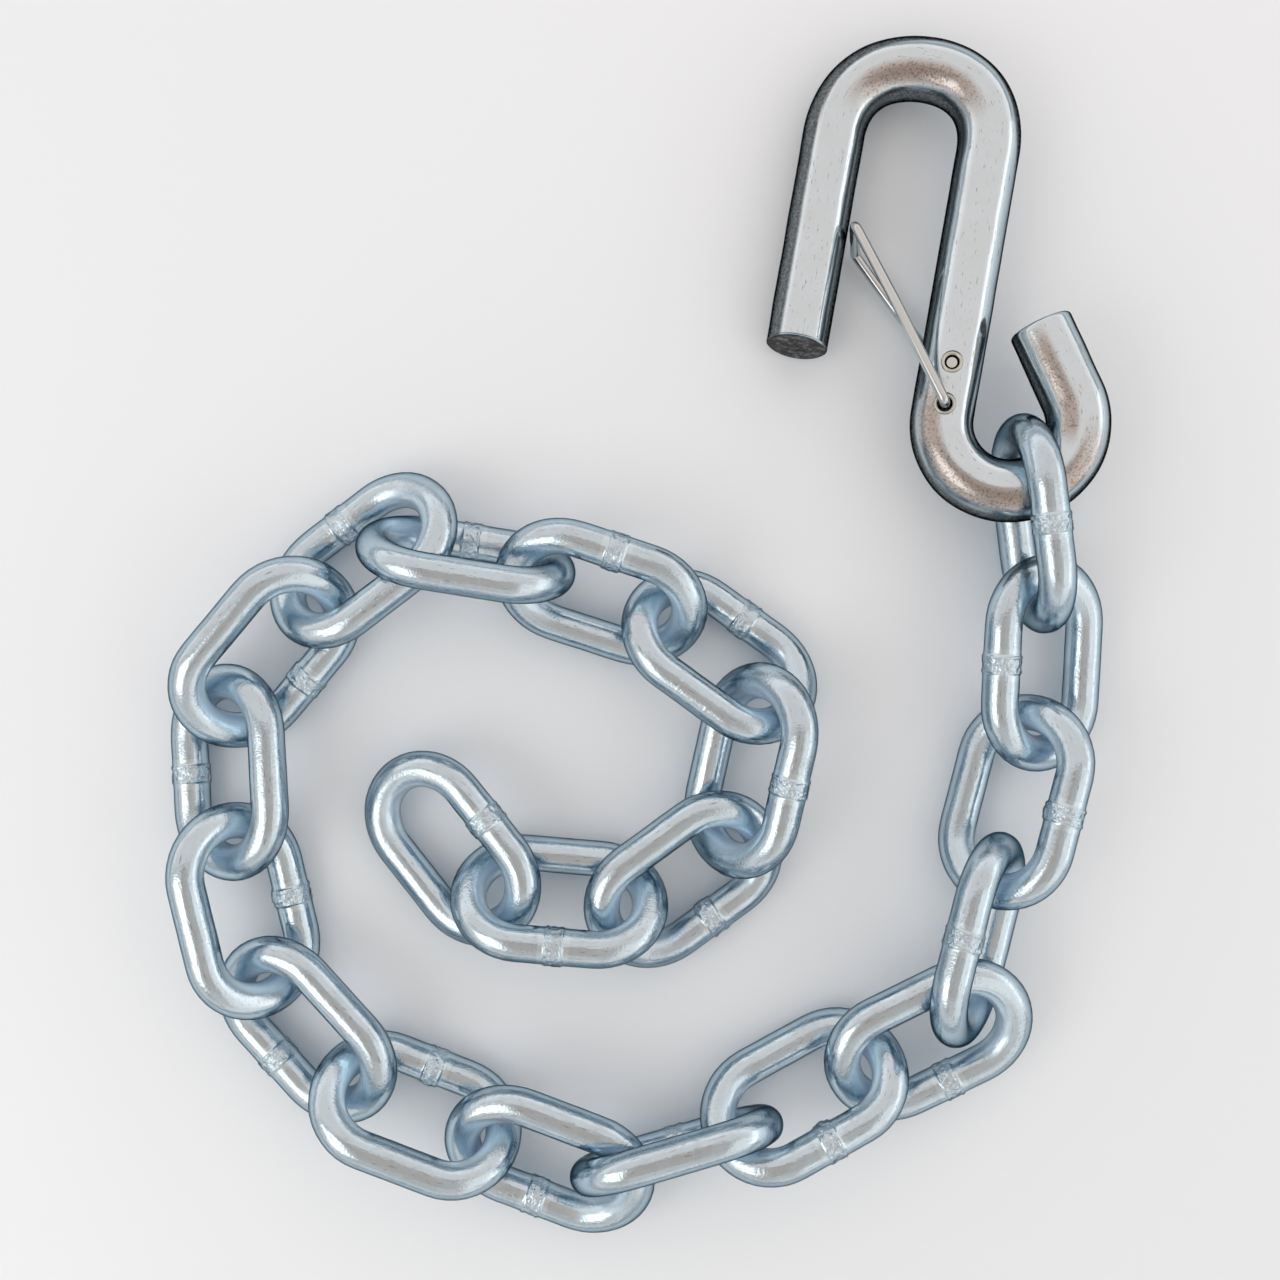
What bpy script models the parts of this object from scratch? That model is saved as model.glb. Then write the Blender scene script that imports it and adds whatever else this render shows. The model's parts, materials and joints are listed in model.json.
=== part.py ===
"""Zinc-plated safety chain: twenty-one welded links and a round-bar hook with a spring-wire latch.

The chain lies on a level floor in a loose spiral, as it was put down, with the hook on its outer
end. Units are metres, +Z is up, and the origin is on the floor under the middle of the whole.
+Y points from the middle of the spiral towards the hook's bend.
"""

import math

import bmesh
import bpy
from mathutils import Matrix, Vector

MM = 0.001
MERGE_DISTANCE = 0.01 * MM

# Chain link: round wire, bent to a long oval and butt-welded in the middle of one leg
WIRE_RADIUS = 3.5 * MM
LINK_INNER_LENGTH = 28.0 * MM
LINK_INNER_WIDTH = 13.5 * MM
WELD_SWELL = 1.07
WELD_HALF_LENGTH = 1.6 * MM
WELD_SHOULDER = 0.5 * MM
BEND_STEPS = 8
WIRE_BEVEL_RESOLUTION = 3

# Hook: one round bar, an open loop above a tighter curl
BAR_RADIUS = 6.0 * MM
LOOP_RADIUS = 14.9 * MM
LOOP_SQUARENESS = 0.035
CURL_RADIUS = 12.7 * MM
SHANK_LENGTH = 51.1 * MM
LOOP_LEG_LENGTH = 42.0 * MM
SAW_CUT_TILT = math.radians(10.0)
CURL_TURN = math.radians(213.0)
CURL_TIP_LENGTH = 14.4 * MM
BAR_STEP_ANGLE = math.radians(12.0)
BAR_BEVEL_RESOLUTION = 5
CUT_EDGE = 0.5 * MM
CUT_EDGE_ANGLE = math.radians(60.0)
SMOOTH_ANGLE = math.radians(40.0)

# Where the hook lies: the middle of its curl, its heading, and how the first link props it up
HOOK_PLACE = (70.3 * MM, 41.0 * MM)
HOOK_HEADING = math.radians(-10.0)
HOOK_PITCH = math.radians(-1.0)
HOOK_ROLL = math.radians(-9.0)

# Latch: one spring wire with a foot in each of the shank's two cross holes
LATCH_RADIUS = 1.0 * MM
LATCH_HOLE_RADIUS = 1.4 * MM
LATCH_HOLE_SIDES = 12
LATCH_PIVOT_UP = 1.0 * MM
LATCH_HOLE_SPACING = 8.0 * MM
LATCH_CLEARANCE = 0.3 * MM
LATCH_TIP_FRONT_UP = 33.0 * MM
LATCH_TIP_BACK_UP = 29.8 * MM
LATCH_TIP_BACK_INSET = 0.6 * MM
LATCH_TIP_HALF_WIDTH = 4.5 * MM
LATCH_STRAIGHT_SHARE = 0.55
LATCH_FOOT_DEPTH = 5.0 * MM
LATCH_BEVEL_RESOLUTION = 2

# Where each link lies: x and y of its middle in millimetres, then heading, roll and pitch in
# degrees, then how far its neighbours hold it off the floor, in millimetres. Headings run along
# the chain away from the hook. A positive roll lifts the left leg, and a positive pitch lifts
# the far end.
LINK_PLACES = [
    (74.5, 22.0, -82, 86, -4, 0.0),
    (77.5, -4.5, -92, -28, -4, 1.5),
    (72.0, -31.0, -105, 40, 2, 0.5),
    (64.5, -57.0, -105, -60, 3, 0.5),
    (55.5, -77.0, -153, -19, -3, 3.0),
    (31.5, -87.5, -153, 38, 6, 0.0),
    (7.0, -97.0, -164, -77, 1, 0.0),
    (-17.5, -100.0, 160, -26, -2, 2.0),
    (-43.0, -91.0, 158, 42, 3, 0.0),
    (-64.5, -75.5, 133, -26, -2, 0.5),
    (-76.0, -52.0, 103, 41, 2, 0.0),
    (-79.5, -25.5, 94, -30, -3, 0.0),
    (-72.0, -2.5, 50, 35, 1, 1.0),
    (-53.5, 15.5, 37, -33, 4, 0.0),
    (-33.0, 15.5, -9, -68, -5, 0.0),
    (-7.5, 9.0, -18, 37, -3, 0.0),
    (15.5, -3.0, -36, -32, 0, 0.0),
    (21.0, -25.0, -102, 45, -6, 0.0),
    (8.5, -46.5, -144, -21, 1, 1.0),
    (-15.5, -50.0, 175, 43, 0, 0.0),
    (-36.5, -40.5, 129, -24, -4, 0.0),
]
# The links whose weld is in the leg on the right of the chain's heading
RIGHT_WELDS = {2, 4, 9, 11, 13, 21}


def remove_all_objects():
    for old in list(bpy.data.objects):
        bpy.data.objects.remove(old, do_unlink=True)


def new_collection(name):
    collection = bpy.data.collections.new(name)
    bpy.context.scene.collection.children.link(collection)
    return collection


def metal(name, colour, roughness):
    material = bpy.data.materials.new(name)
    material.use_nodes = True
    shader = material.node_tree.nodes["Principled BSDF"]
    shader.inputs["Base Color"].default_value = (*colour, 1.0)
    shader.inputs["Metallic"].default_value = 1.0
    shader.inputs["Roughness"].default_value = roughness
    return material


def arc_points(centre, radius, start, turn, steps):
    """Points of an arc in the XY plane, from one end to the other."""
    points = []
    for step in range(steps + 1):
        angle = start + turn * step / steps
        points.append(centre + radius * Vector((math.cos(angle), math.sin(angle), 0.0)))
    return points


def tube_curve(name, points, radius, bevel_resolution, closed=False, swells=None):
    """A round wire along a line of points; swells scales its radius at each point."""
    curve = bpy.data.curves.new(name, "CURVE")
    curve.dimensions = "3D"
    curve.bevel_depth = radius
    curve.bevel_resolution = bevel_resolution
    curve.use_fill_caps = not closed
    spline = curve.splines.new("POLY")
    spline.points.add(len(points) - 1)
    spline.use_cyclic_u = closed
    for index, point in enumerate(points):
        spline.points[index].co = (*point, 1.0)
        spline.points[index].radius = swells[index] if swells else 1.0
    return curve


def curve_as_mesh_object(name, curve, collection):
    """The evaluated tube as a mesh object, with its loose caps welded on."""
    guide = bpy.data.objects.new(name + "_guide", curve)
    collection.objects.link(guide)
    bpy.context.view_layer.update()
    evaluated = guide.evaluated_get(bpy.context.evaluated_depsgraph_get())
    mesh = bpy.data.meshes.new_from_object(evaluated)
    bpy.data.objects.remove(guide, do_unlink=True)
    work = bmesh.new()
    work.from_mesh(mesh)
    bmesh.ops.remove_doubles(work, verts=work.verts, dist=MERGE_DISTANCE)
    work.to_mesh(mesh)
    work.free()
    mesh.name = name
    mesh.shade_smooth()
    made = bpy.data.objects.new(name, mesh)
    collection.objects.link(made)
    return made


def link_curve(material):
    """One link, flat in its own XY plane with its length along X and its weld in the +Y leg."""
    bend_radius = LINK_INNER_WIDTH / 2 + WIRE_RADIUS
    half_straight = (LINK_INNER_LENGTH - LINK_INNER_WIDTH) / 2
    far_bend = arc_points(Vector((half_straight, 0, 0)), bend_radius, -math.pi / 2, math.pi, BEND_STEPS)
    near_bend = arc_points(Vector((-half_straight, 0, 0)), bend_radius, math.pi / 2, math.pi, BEND_STEPS)
    shoulder = WELD_HALF_LENGTH + WELD_SHOULDER
    weld = []
    for along in (shoulder, WELD_HALF_LENGTH, -WELD_HALF_LENGTH, -shoulder):
        weld.append(Vector((along, bend_radius, 0)))
    points = far_bend + weld + near_bend
    swells = [1.0] * len(far_bend) + [1.0, WELD_SWELL, WELD_SWELL, 1.0] + [1.0] * len(near_bend)
    curve = tube_curve("link", points, WIRE_RADIUS, WIRE_BEVEL_RESOLUTION, True, swells)
    curve.materials.append(material)
    return curve


def link_axes(heading, roll, pitch):
    """Unit vectors of a link: along its length, across it to the left, and out of its plane."""
    ahead = Vector((math.cos(heading), math.sin(heading), 0.0))
    left = Vector((-math.sin(heading), math.cos(heading), 0.0))
    along = math.cos(pitch) * ahead + math.sin(pitch) * Vector((0.0, 0.0, 1.0))
    across = math.cos(roll) * left + math.sin(roll) * along.cross(left)
    return along, across, along.cross(across)


def resting_height(along, across):
    """Height of a link's middle when the lowest point of its wire touches the floor."""
    bend_radius = LINK_INNER_WIDTH / 2 + WIRE_RADIUS
    half_straight = (LINK_INNER_LENGTH - LINK_INNER_WIDTH) / 2
    return WIRE_RADIUS + half_straight * abs(along.z) + bend_radius * math.hypot(along.z, across.z)


def add_links(collection, parent):
    curve = link_curve(metal("bright zinc chain", (0.62, 0.66, 0.70), 0.28))
    for number, (x, y, heading, roll, pitch, lift) in enumerate(LINK_PLACES, start=1):
        along, across, normal = link_axes(math.radians(heading), math.radians(roll), math.radians(pitch))
        place = Vector((x * MM, y * MM, resting_height(along, across) + lift * MM))
        if number in RIGHT_WELDS:
            across, normal = -across, -normal
        link = bpy.data.objects.new(f"link_{number:02d}", curve)
        link.matrix_world = Matrix.Translation(place) @ Matrix((along, across, normal)).transposed().to_4x4()
        link.parent = parent
        collection.objects.link(link)


def squared_arch(centre, radius, squareness, steps):
    """A half circle over its centre, from left to right, with its shoulders pushed out."""
    points = []
    for point in arc_points(Vector((0, 0, 0)), radius, math.pi, -math.pi, steps):
        shoulder = math.sin(2 * math.atan2(point.y, point.x)) ** 2
        points.append(centre + point * (1 + squareness * shoulder))
    return points


def hook_line():
    """The hook bar's middle line in its own plane, from the sawn leg to the curl's tip.

    The origin is the middle of the curl, and the shank runs up at x = -CURL_RADIUS.
    """
    shank_x = -CURL_RADIUS
    loop_centre = Vector((shank_x - LOOP_RADIUS, SHANK_LENGTH, 0.0))
    leg_x = loop_centre.x - LOOP_RADIUS
    points = [Vector((leg_x, SHANK_LENGTH - LOOP_LEG_LENGTH, 0.0))]
    points += squared_arch(loop_centre, LOOP_RADIUS, LOOP_SQUARENESS, round(math.pi / BAR_STEP_ANGLE))
    curl_steps = round(CURL_TURN / BAR_STEP_ANGLE)
    points += arc_points(Vector((0, 0, 0)), CURL_RADIUS, math.pi, CURL_TURN, curl_steps)
    last = math.pi + CURL_TURN
    points.append(points[-1] + CURL_TIP_LENGTH * Vector((-math.sin(last), math.cos(last), 0.0)))
    return points


def hook_rotation():
    turn = Matrix.Rotation(HOOK_HEADING, 4, "Z")
    return turn @ Matrix.Rotation(HOOK_PITCH, 4, "X") @ Matrix.Rotation(HOOK_ROLL, 4, "Y")


def add_hook_datum(parent, collection):
    """An empty at the middle of the curl, turned to the hook's plane and resting its bar on the floor."""
    rotation = hook_rotation()
    lowest = min((rotation @ point).z for point in hook_line())
    datum = bpy.data.objects.new("hook_datum", None)
    place = Vector((*HOOK_PLACE, BAR_RADIUS - lowest))
    datum.matrix_world = Matrix.Translation(place) @ rotation
    datum.parent = parent
    collection.objects.link(datum)
    return datum


def latch_holes():
    """The two hole places on the shank: the latch's pivot, and the foot's hole above it."""
    pivot = Vector((-CURL_RADIUS, LATCH_PIVOT_UP, 0.0))
    return pivot, pivot + Vector((0.0, LATCH_HOLE_SPACING, 0.0))


def tilt_sawn_end(mesh):
    """Slant the end of the open leg, as a saw leaves it, with its upper side cut back."""
    start = hook_line()[0]
    for vertex in mesh.vertices:
        if (vertex.co - start).length < BAR_RADIUS + MERGE_DISTANCE:
            vertex.co.y += vertex.co.z * math.tan(SAW_CUT_TILT)


def add_hook(collection, cutters, datum):
    curve = tube_curve("s_hook", hook_line(), BAR_RADIUS, BAR_BEVEL_RESOLUTION)
    hook = curve_as_mesh_object("s_hook", curve, collection)
    tilt_sawn_end(hook.data)
    hook.parent = datum
    hook.data.materials.append(metal("bright zinc hook", (0.66, 0.64, 0.60), 0.24))
    hook.data.set_sharp_from_angle(angle=SMOOTH_ANGLE)
    edge = hook.modifiers.new("cut edges", "BEVEL")
    edge.limit_method = "ANGLE"
    edge.angle_limit = CUT_EDGE_ANGLE
    edge.width = CUT_EDGE
    edge.segments = 1
    for index, place in enumerate(latch_holes()):
        bpy.ops.mesh.primitive_cylinder_add(
            vertices=LATCH_HOLE_SIDES, radius=LATCH_HOLE_RADIUS, depth=4 * BAR_RADIUS
        )
        cutter = bpy.context.active_object
        cutter.name = f"latch_hole_cutter_{index + 1}"
        cutter.location = place
        cutter.parent = datum
        cutter.hide_render = True
        cutter.display_type = "WIRE"
        for home in list(cutter.users_collection):
            home.objects.unlink(cutter)
        cutters.objects.link(cutter)
        hole = hook.modifiers.new(f"latch hole {index + 1}", "BOOLEAN")
        hole.operation = "DIFFERENCE"
        hole.solver = "EXACT"
        hole.object = cutter


def latch_line():
    """The moving wire's middle line: pivot foot, front leg, tip, back leg, end under the second hole."""
    pivot, second = latch_holes()
    outside = BAR_RADIUS + LATCH_CLEARANCE + LATCH_RADIUS
    tip_x = pivot.x - 2 * LOOP_RADIUS + outside
    front_tip = Vector((tip_x, LATCH_TIP_FRONT_UP, LATCH_TIP_HALF_WIDTH))
    back_tip = Vector((tip_x + LATCH_TIP_BACK_INSET, LATCH_TIP_BACK_UP, -LATCH_TIP_HALF_WIDTH))
    front_start = pivot + Vector((0, 0, outside))
    back_end = second - Vector((0, 0, outside))
    front_knee = front_start.lerp(Vector((*front_tip.xy, outside)), LATCH_STRAIGHT_SHARE)
    back_knee = back_end.lerp(Vector((*back_tip.xy, -outside)), LATCH_STRAIGHT_SHARE)
    foot_end = pivot + Vector((0, 0, outside - LATCH_FOOT_DEPTH))
    return [foot_end, front_start, front_knee, front_tip, back_tip, back_knee, back_end]


def add_latch(collection, datum):
    """The latch wire, its origin on the pivot hole's axis, and the foot it keeps in the second hole."""
    pivot, second = latch_holes()
    wire_metal = metal("bright spring wire", (0.72, 0.71, 0.68), 0.2)
    points = [point - pivot for point in latch_line()]
    curve = tube_curve("latch_wire", points, LATCH_RADIUS, LATCH_BEVEL_RESOLUTION)
    wire = curve_as_mesh_object("latch_wire", curve, collection)
    wire.parent = datum
    wire.location = pivot
    wire.data.materials.append(wire_metal)
    foot_half = BAR_RADIUS - LATCH_CLEARANCE
    foot_points = [second - Vector((0, 0, foot_half)), second + Vector((0, 0, foot_half))]
    foot_curve = tube_curve("latch_foot", foot_points, LATCH_RADIUS, LATCH_BEVEL_RESOLUTION)
    foot = curve_as_mesh_object("latch_foot", foot_curve, collection)
    foot.parent = datum
    foot.data.materials.append(wire_metal)


def centre_on_floor(parent, collection):
    """Move the whole so that the origin is under the middle of its box, on the floor."""
    bpy.context.view_layer.update()
    depsgraph = bpy.context.evaluated_depsgraph_get()
    low = Vector((math.inf, math.inf, math.inf))
    high = -low
    for part in collection.objects:
        if part.type == "EMPTY":
            continue
        evaluated = part.evaluated_get(depsgraph)
        mesh = evaluated.to_mesh()
        for vertex in mesh.vertices:
            place = evaluated.matrix_world @ vertex.co
            low = Vector(map(min, low, place))
            high = Vector(map(max, high, place))
        evaluated.to_mesh_clear()
    parent.location = -Vector(((low.x + high.x) / 2, (low.y + high.y) / 2, low.z))


def main():
    remove_all_objects()
    parts = new_collection("safety_chain_with_hook")
    cutters = new_collection("cutters")
    lay = bpy.data.objects.new("lay_on_floor", None)
    parts.objects.link(lay)
    datum = add_hook_datum(lay, parts)
    add_links(parts, lay)
    add_hook(parts, cutters, datum)
    add_latch(parts, datum)
    centre_on_floor(lay, parts)


main()
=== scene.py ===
import json
import math

import bpy
import numpy as np
from mathutils import Matrix, Vector
from mathutils.kdtree import KDTree

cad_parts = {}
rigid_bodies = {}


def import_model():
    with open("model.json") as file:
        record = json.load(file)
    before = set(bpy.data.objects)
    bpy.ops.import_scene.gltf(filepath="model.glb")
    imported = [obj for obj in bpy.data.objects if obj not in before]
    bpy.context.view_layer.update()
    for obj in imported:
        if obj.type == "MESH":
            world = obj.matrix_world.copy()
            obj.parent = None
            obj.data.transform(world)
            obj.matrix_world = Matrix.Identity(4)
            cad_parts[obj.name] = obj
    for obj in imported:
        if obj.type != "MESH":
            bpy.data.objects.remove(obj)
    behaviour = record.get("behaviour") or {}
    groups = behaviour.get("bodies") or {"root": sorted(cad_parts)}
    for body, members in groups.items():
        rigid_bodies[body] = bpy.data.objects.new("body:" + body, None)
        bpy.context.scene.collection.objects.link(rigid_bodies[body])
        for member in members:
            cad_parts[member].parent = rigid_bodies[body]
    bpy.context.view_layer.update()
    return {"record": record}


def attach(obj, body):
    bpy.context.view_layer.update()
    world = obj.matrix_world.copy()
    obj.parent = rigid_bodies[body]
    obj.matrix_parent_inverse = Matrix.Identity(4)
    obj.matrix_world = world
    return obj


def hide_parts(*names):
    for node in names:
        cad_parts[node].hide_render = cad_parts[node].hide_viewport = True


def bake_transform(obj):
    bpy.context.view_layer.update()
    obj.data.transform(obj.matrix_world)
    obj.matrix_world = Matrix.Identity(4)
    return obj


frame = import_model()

# Camera
# It hangs straight above the chain, over the middle of the floor that the chain covers, with the
# hook's bend towards the top of the picture.
MM = 0.001
CAMERA_PLACE = (1.03 * MM, -0.79 * MM, 290.0 * MM)
CAMERA_LENS = 40.84
CAMERA_FILM_WIDTH = 36.0
NEAREST_SEEN = 10.0 * MM

camera_data = bpy.data.cameras.new("camera_above")
camera_data.lens = CAMERA_LENS
camera_data.sensor_width = CAMERA_FILM_WIDTH
camera_data.clip_start = NEAREST_SEEN
camera = bpy.data.objects.new("camera_above", camera_data)
camera.location = CAMERA_PLACE
bpy.context.scene.collection.objects.link(camera)
bpy.context.scene.camera = camera


# Chain links
# Each link is round steel wire bent to a long oval and butt-welded in the middle of one leg. The
# weld's flash is sheared off, which leaves a bead with a ridge at each side and a lump towards the
# link's inside. The clamps of the welder leave two faint rings on the opposite leg.
LINK_COUNT = 21
WIRE_RADIUS = 3.5 * MM
LINK_INNER_LENGTH = 28.0 * MM
LINK_INNER_WIDTH = 13.5 * MM
WIRE_SIDES = 48
BEND_STEPS = 22
WELD_LEG_CUTS = 6
CLAMP_LEG_CUTS = 5
WIRE_SEAM = 0.02 * MM
BEAD_HALF_LENGTH = 1.5 * MM
BEAD_HEIGHT = 0.13 * MM
BEAD_EDGE = 0.12 * MM
BEAD_ROUGH_SHARE = 0.8
BEAD_CLEAN_SHARE = 1.3
RIDGE_HEIGHT = 0.20 * MM
RIDGE_WIDTH = 0.28 * MM
WELD_ZONE = 3.2 * MM
RING_STEP = 0.16 * MM
CLAMP_MARK_PLACE = 3.2 * MM
CLAMP_MARK_HEIGHT = 0.035 * MM
CLAMP_MARK_WIDTH = 0.16 * MM
CLAMP_ZONE = CLAMP_MARK_PLACE + 0.6 * MM
CLEAR_CLAMP_MARKS = (7, 15, 17)
FAINT_MARK_SHARE = 0.1
FLASH_HEIGHT = 0.55 * MM
FLASH_LENGTH = 1.1 * MM
FLASH_CHANGE = 2.4
WELD_ROUGHNESS_SIZE = 0.9 * MM
WELD_ROUGHNESS_HEIGHT = 0.45 * MM
ROUGHEST_WELD = 1
ROUGHEST_WELD_SHARE = 1.6
WIRE_WAVE_SIZE = 5.0 * MM
WIRE_WAVE_HEIGHT = 0.09 * MM
LEG_LINE_STEPS = 12
BEND_LINE_STEPS = 60
LEAST_WEIGHT = 0.001
LEAST_STEP = 1e-9
NODE_DIGITS = 7
NODE_END_DEPTH = 0.01 * MM

bend_radius = LINK_INNER_WIDTH / 2 + WIRE_RADIUS
half_straight = (LINK_INNER_LENGTH - LINK_INNER_WIDTH) / 2


def arc_points(centre, radius, start, turn, steps):
    """Points on a level arc, from a start angle and through a turn."""
    points = []
    for step in range(steps + 1):
        angle = start + turn * step / steps
        x = centre[0] + radius * math.cos(angle)
        y = centre[1] + radius * math.sin(angle)
        points.append(Vector((x, y, 0.0)))
    return points


def start_ring(name, radius, sides, place, rotation):
    """A ring of edges at the start of a bar, in edit mode and all selected."""
    bpy.ops.object.select_all(action="DESELECT")
    bpy.ops.mesh.primitive_circle_add(vertices=sides, radius=radius, location=place, rotation=rotation)
    ring = bpy.context.active_object
    ring.name = name
    ring.data.name = name
    bpy.ops.object.mode_set(mode="EDIT")
    return ring


def draw_out(length, cuts):
    """Extrude the selected ring by a length along X, in equal cuts."""
    for _ in range(cuts):
        bpy.ops.mesh.extrude_region_move(TRANSFORM_OT_translate={"value": (length / cuts, 0.0, 0.0)})


def bend(centre, turn, steps):
    """Spin the selected ring about an upright line."""
    bpy.ops.mesh.spin(steps=steps, angle=turn, center=centre, axis=(0.0, 0.0, 1.0))


def draw_rings(x_from, x_to, leg_y, height_at):
    """Extrude the selected ring along X in close rings, each raised over the wire by height_at(x)."""
    x = x_from
    scale = 1.0 + height_at(x) / WIRE_RADIUS
    while abs(x_to - x) > LEAST_STEP:
        new_x = x + math.copysign(min(RING_STEP, abs(x_to - x)), x_to - x)
        new_scale = 1.0 + height_at(new_x) / WIRE_RADIUS
        bpy.ops.mesh.extrude_region_move(TRANSFORM_OT_translate={"value": (new_x - x, 0.0, 0.0)})
        ratio = new_scale / scale
        bpy.ops.transform.resize(value=(1.0, ratio, ratio), center_override=(new_x, leg_y, 0.0))
        x = new_x
        scale = new_scale


def weld_height(x):
    """The bead with its ridge at each side, as a height over the wire."""
    plateau = BEAD_HEIGHT / (1.0 + math.exp((abs(x) - BEAD_HALF_LENGTH) / BEAD_EDGE))
    ridge = RIDGE_HEIGHT * math.exp(-(((abs(x) - BEAD_HALF_LENGTH) / RIDGE_WIDTH) ** 2))
    return plateau + ridge


def plain_wire_height(_):
    """The plain leg, whose clamp marks are pushed out of its close rings later."""
    return 0.0


def close_ring_mesh(merge):
    """Leave edit mode with the seam merged and the faces pointing outwards."""
    bpy.ops.mesh.select_all(action="SELECT")
    bpy.ops.mesh.remove_doubles(threshold=merge)
    bpy.ops.mesh.normals_make_consistent(inside=False)
    bpy.ops.object.mode_set(mode="OBJECT")
    bpy.ops.object.transform_apply(location=True, rotation=True, scale=True)
    bpy.ops.object.shade_smooth()


weld_middle = (0.0, bend_radius, 0.0)
weld_scale = 1.0 + weld_height(0.0) / WIRE_RADIUS
link_form = start_ring("link_form", WIRE_RADIUS, WIRE_SIDES, weld_middle, (0.0, math.pi / 2, 0.0))
bpy.ops.transform.resize(value=(1.0, weld_scale, weld_scale), center_override=weld_middle)
draw_rings(0.0, WELD_ZONE, bend_radius, weld_height)
draw_out(half_straight - WELD_ZONE, WELD_LEG_CUTS)
bend((half_straight, 0.0, 0.0), math.pi, BEND_STEPS)
draw_out(CLAMP_ZONE - half_straight, CLAMP_LEG_CUTS)
draw_rings(CLAMP_ZONE, -CLAMP_ZONE, -bend_radius, plain_wire_height)
draw_out(CLAMP_ZONE - half_straight, CLAMP_LEG_CUTS)
bend((-half_straight, 0.0, 0.0), math.pi, BEND_STEPS)
draw_out(half_straight - WELD_ZONE, WELD_LEG_CUTS)
draw_rings(-WELD_ZONE, 0.0, bend_radius, weld_height)
close_ring_mesh(WIRE_SEAM)


def store_bar_place(obj, line):
    """Store where each point is on its bar, as bar_place: how far along, how far aside, how far up."""
    tree = KDTree(len(line))
    for index, point in enumerate(line):
        tree.insert(point, index)
    tree.balance()
    travelled = [0.0]
    for before, after in zip(line, line[1:]):
        travelled.append(travelled[-1] + (after - before).length)
    values = np.empty((len(obj.data.vertices), 3), np.float32)
    for vertex in obj.data.vertices:
        _, index, _ = tree.find(vertex.co)
        ahead = (line[min(index + 1, len(line) - 1)] - line[max(index - 1, 0)]).normalized()
        left = Vector((-ahead.y, ahead.x, 0.0))
        away = vertex.co - line[index]
        values[vertex.index] = (travelled[index] + away.dot(ahead), away.dot(left), away.z)
    attribute = obj.data.attributes.new("bar_place", "FLOAT_VECTOR", "POINT")
    attribute.data.foreach_set("vector", values.ravel())


def store_weight(obj, name, weight_at):
    """A vertex group with a weight worked out from each point."""
    group = obj.vertex_groups.new(name=name)
    for vertex in obj.data.vertices:
        weight = weight_at(vertex.co)
        if weight > LEAST_WEIGHT:
            group.add([vertex.index], weight, "REPLACE")


def store_values(obj, name, value_at):
    """An attribute with a value worked out from each point."""
    attribute = obj.data.attributes.new(name, "FLOAT", "POINT")
    attribute.data.foreach_set("value", [value_at(vertex.co) for vertex in obj.data.vertices])


def smooth_fall(distance, start, end):
    """1 up to the start, 0 from the end on, and a smooth fall between them."""
    t = min(max((distance - start) / (end - start), 0.0), 1.0)
    return 1.0 - t * t * (3.0 - 2.0 * t)


def bead_weight(point):
    """1 on the bead, and none beyond its ends."""
    if point.y < 0:
        return 0.0
    return smooth_fall(abs(point.x), BEAD_HALF_LENGTH * BEAD_ROUGH_SHARE, BEAD_HALF_LENGTH * BEAD_CLEAN_SHARE)


def flash_weight(point):
    """Most in the middle of the bead, towards the link's inside."""
    inward = max(0.0, (bend_radius - point.y) / WIRE_RADIUS) if point.y > 0 else 0.0
    return inward**3 * math.exp(-((point.x / FLASH_LENGTH) ** 2))


def clamp_weight(point):
    """Most on the two rings that the welder's clamps leave."""
    if point.y > 0:
        return 0.0
    return math.exp(-(((abs(point.x) - CLAMP_MARK_PLACE) / CLAMP_MARK_WIDTH) ** 2))


def bumps(name, size, depth):
    """Cloudy unevenness of a size, for a push."""
    texture = bpy.data.textures.new(name, "CLOUDS")
    texture.noise_scale = size
    texture.noise_depth = depth
    return texture


def push(obj, name, strength, direction="NORMAL", group="", texture=None):
    """Displace the surface and apply it. A texture lies in the scene's own space, so no two pieces match."""
    bpy.ops.object.select_all(action="DESELECT")
    bpy.context.view_layer.objects.active = obj
    obj.select_set(True)
    modifier = obj.modifiers.new(name, "DISPLACE")
    modifier.strength = strength
    modifier.direction = direction
    modifier.vertex_group = group
    modifier.mid_level = 0.5 if texture else 0.0
    if texture:
        modifier.texture = texture
        modifier.texture_coords = "GLOBAL"
    bpy.ops.object.modifier_apply(modifier=name)


def node_axes(node):
    """A link's place from its node: its length, the side of its weld, its normal and its middle."""
    points = np.unique(np.round([tuple(vertex.co) for vertex in node.data.vertices], NODE_DIGITS), axis=0)
    normal, across, along = np.linalg.eigh(np.cov(points.T))[1].T
    reach = points @ along
    far = points[reach > reach.max() - NODE_END_DEPTH].mean(axis=0)
    near = points[reach < reach.min() + NODE_END_DEPTH].mean(axis=0)
    middle = (far + near) / 2
    side = (points - middle) @ across
    if side.max() < -side.min():
        across = -across
    if normal[2] < 0:
        normal = -normal
    along = np.cross(across, normal)
    return Matrix.Translation(middle) @ Matrix((along, across, normal)).transposed().to_4x4()


leg_steps = [half_straight * step / LEG_LINE_STEPS for step in range(LEG_LINE_STEPS)]
right_bend = arc_points((half_straight, 0.0), bend_radius, math.pi / 2, -math.pi, BEND_LINE_STEPS)
left_bend = arc_points((-half_straight, 0.0), bend_radius, -math.pi / 2, -math.pi, BEND_LINE_STEPS)
link_line = [Vector((x, bend_radius, 0.0)) for x in leg_steps] + right_bend
link_line += [Vector((x, -bend_radius, 0.0)) for x in reversed(leg_steps[1:])]
link_line += [Vector((-x, -bend_radius, 0.0)) for x in leg_steps] + left_bend
link_line += [Vector((-x, bend_radius, 0.0)) for x in reversed(leg_steps[1:])]
store_bar_place(link_form, link_line)
store_weight(link_form, "bead", bead_weight)
store_weight(link_form, "flash", flash_weight)
store_weight(link_form, "clamp marks", clamp_weight)

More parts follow.
